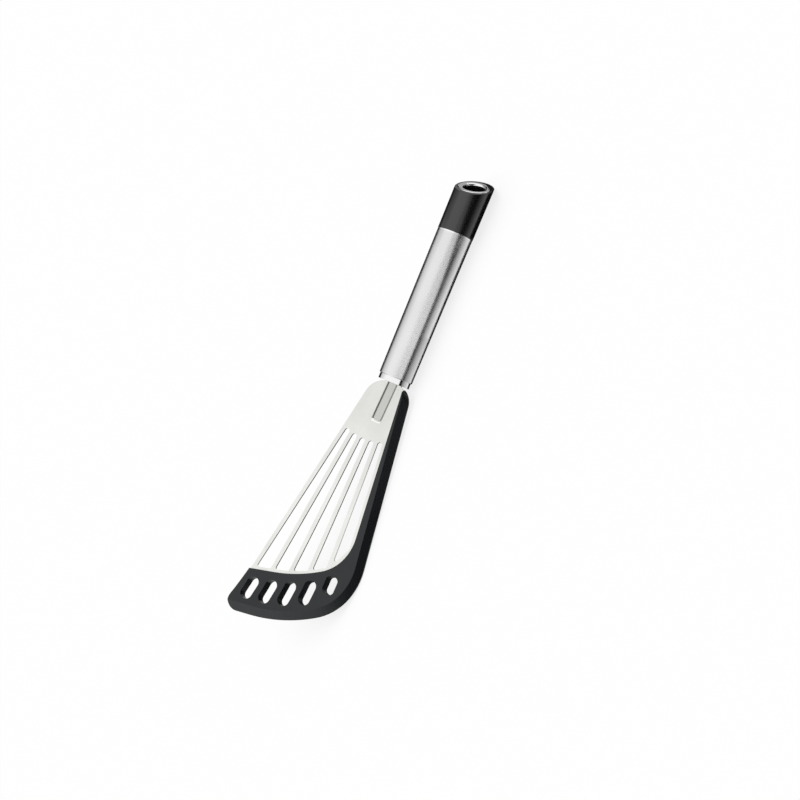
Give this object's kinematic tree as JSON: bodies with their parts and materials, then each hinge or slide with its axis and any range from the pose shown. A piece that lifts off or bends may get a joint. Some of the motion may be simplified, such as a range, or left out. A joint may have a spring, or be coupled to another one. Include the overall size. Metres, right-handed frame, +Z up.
{
  "type": "kitchen turner",
  "caption": "Slotted turner: fanned steel blade with a soft bevelled edge on its front and one side, round tube handle with a slanted end cap and hanging eye.",
  "frame": {"origin": "middle of the bounding box, at its bottom, on the table that the handle and the soft side edge rest on", "axes": "+Z up as the turner lies at rest with its food side up; +X along the handle towards the hanging eye, which rises 0.46 degrees; rolled 26.9 degrees about the handle so that the soft side edge, towards -Y, meets the table"},
  "size_m": [0.3432, 0.0738, 0.0496],
  "materials": {
    "sheet_steel": "satin",
    "soft_edge": "satin",
    "polished_steel": "polished",
    "tube_steel": "brushed",
    "cap_plastic": "matte",
    "core_plastic": "moulded",
    "seal_rubber": "moulded"
  },
  "bodies": {
    "root": {"blade": "sheet_steel", "soft_edge": "soft_edge", "neck_collar": "polished_steel", "neck_seal": "seal_rubber", "handle_core": "core_plastic", "core_pins": "polished_steel", "handle_tube": "tube_steel", "cap_seal": "seal_rubber", "end_cap": "cap_plastic", "hanging_ring": "polished_steel"}
  },
  "joints": []
}
